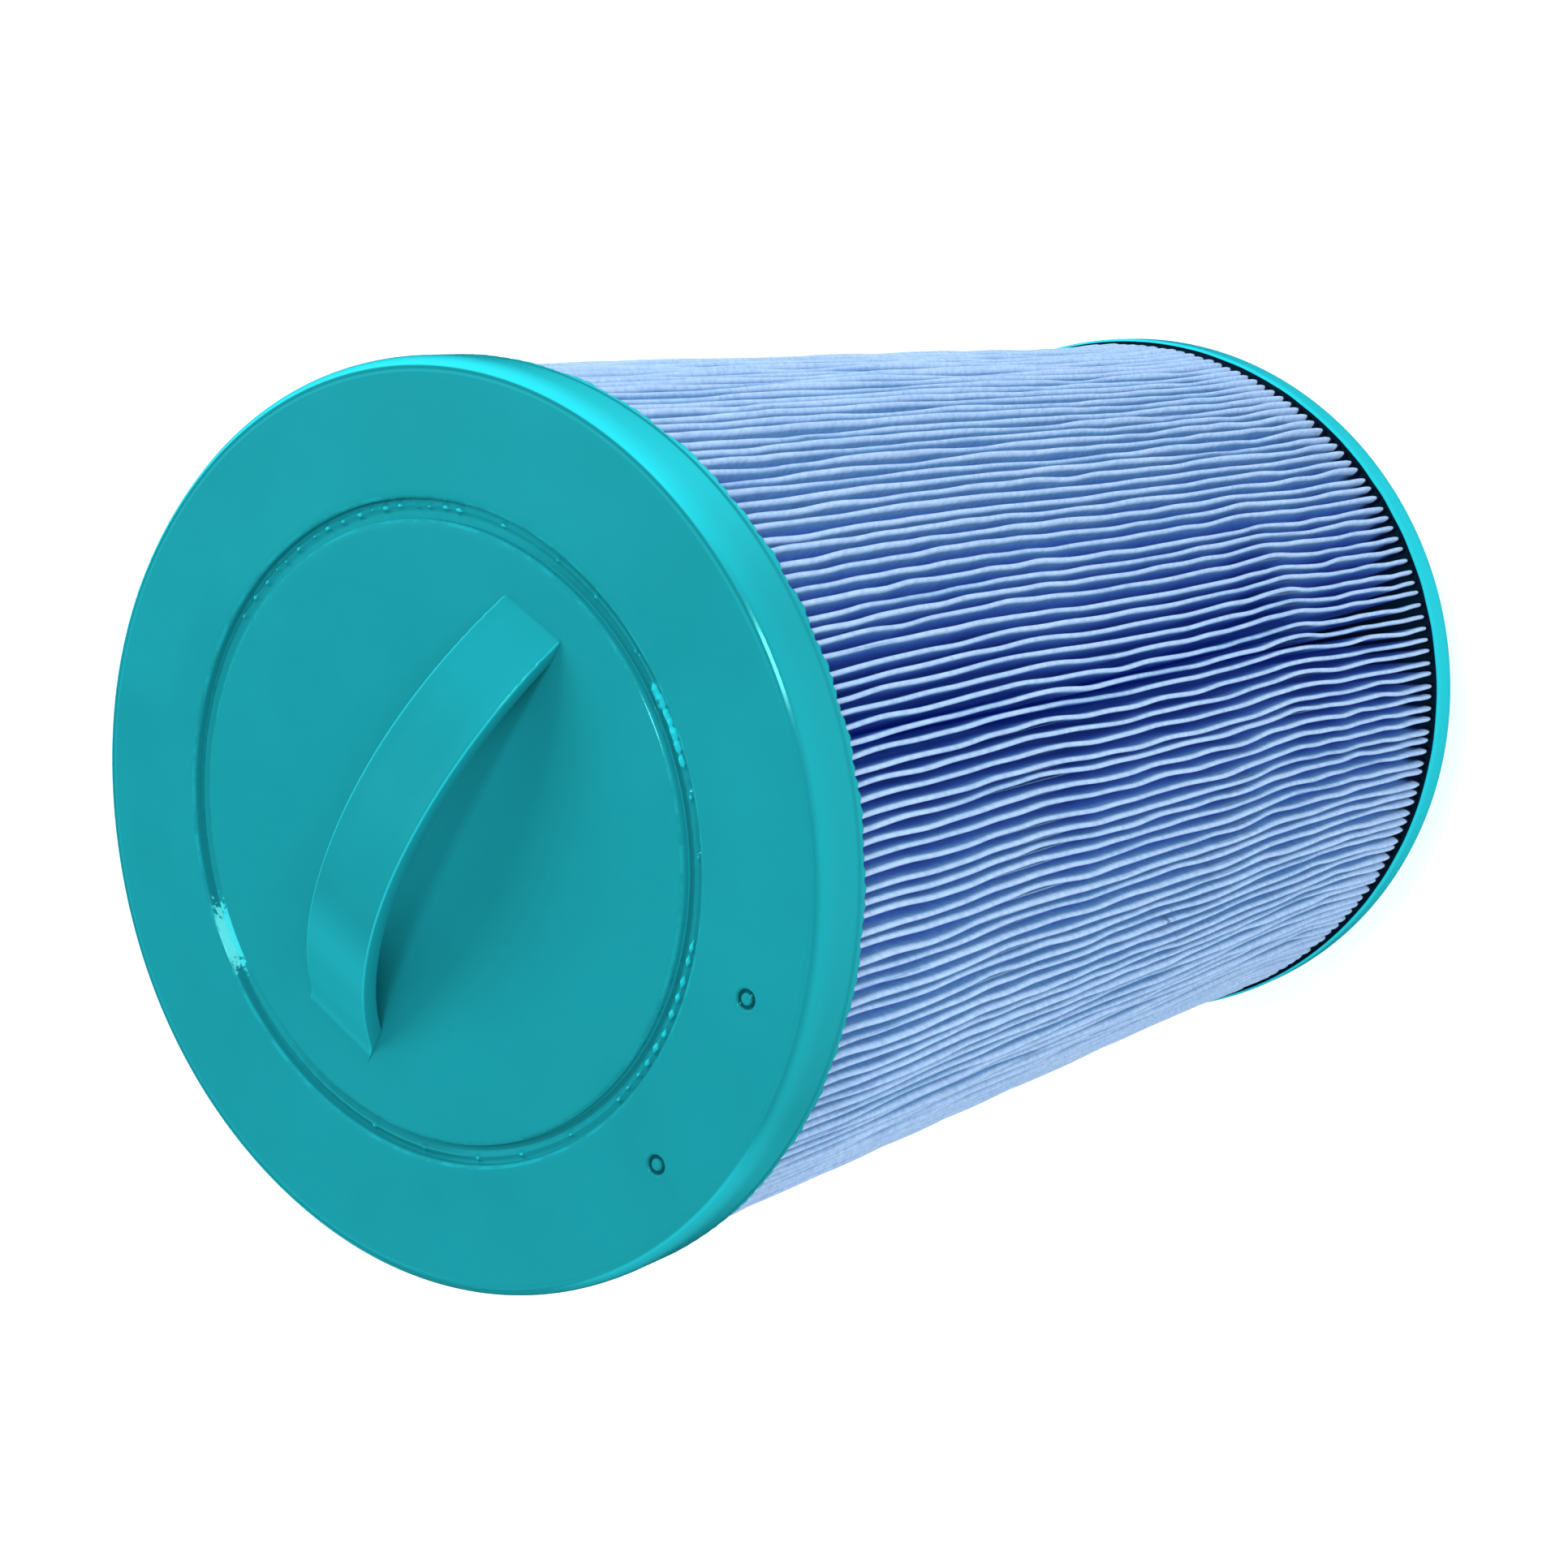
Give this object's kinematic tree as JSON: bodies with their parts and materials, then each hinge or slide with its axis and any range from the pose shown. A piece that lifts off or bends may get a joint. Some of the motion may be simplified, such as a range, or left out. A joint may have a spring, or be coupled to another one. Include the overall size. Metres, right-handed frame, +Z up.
{
  "type": "filter cartridge",
  "caption": "Pleated spa filter cartridge with cast end caps, a fixed arched strap handle on top and a coarse-threaded outlet below.",
  "frame": {"origin": "centre of the threaded outlet's lower end face, on which the part stands", "axes": "+Z up along the cartridge's axis, from the outlet to the handle; +X along the handle's strap"},
  "size_m": [0.1524, 0.1524, 0.2812],
  "materials": {
    "cast_end_cap": "satin",
    "moulded_plate": "satin",
    "filter_media": "matte",
    "seam_glue": "satin",
    "moulded_core": "matte",
    "moulded_adapter": "satin"
  },
  "bodies": {
    "root": {"top_end_cap": "cast_end_cap", "bottom_end_cap": "cast_end_cap", "handle_plate": "moulded_plate", "pleated_media": "filter_media", "side_seam_bead": "seam_glue", "core_upper": "moulded_core", "core_lower": "moulded_core", "threaded_adapter": "moulded_adapter"}
  },
  "joints": []
}
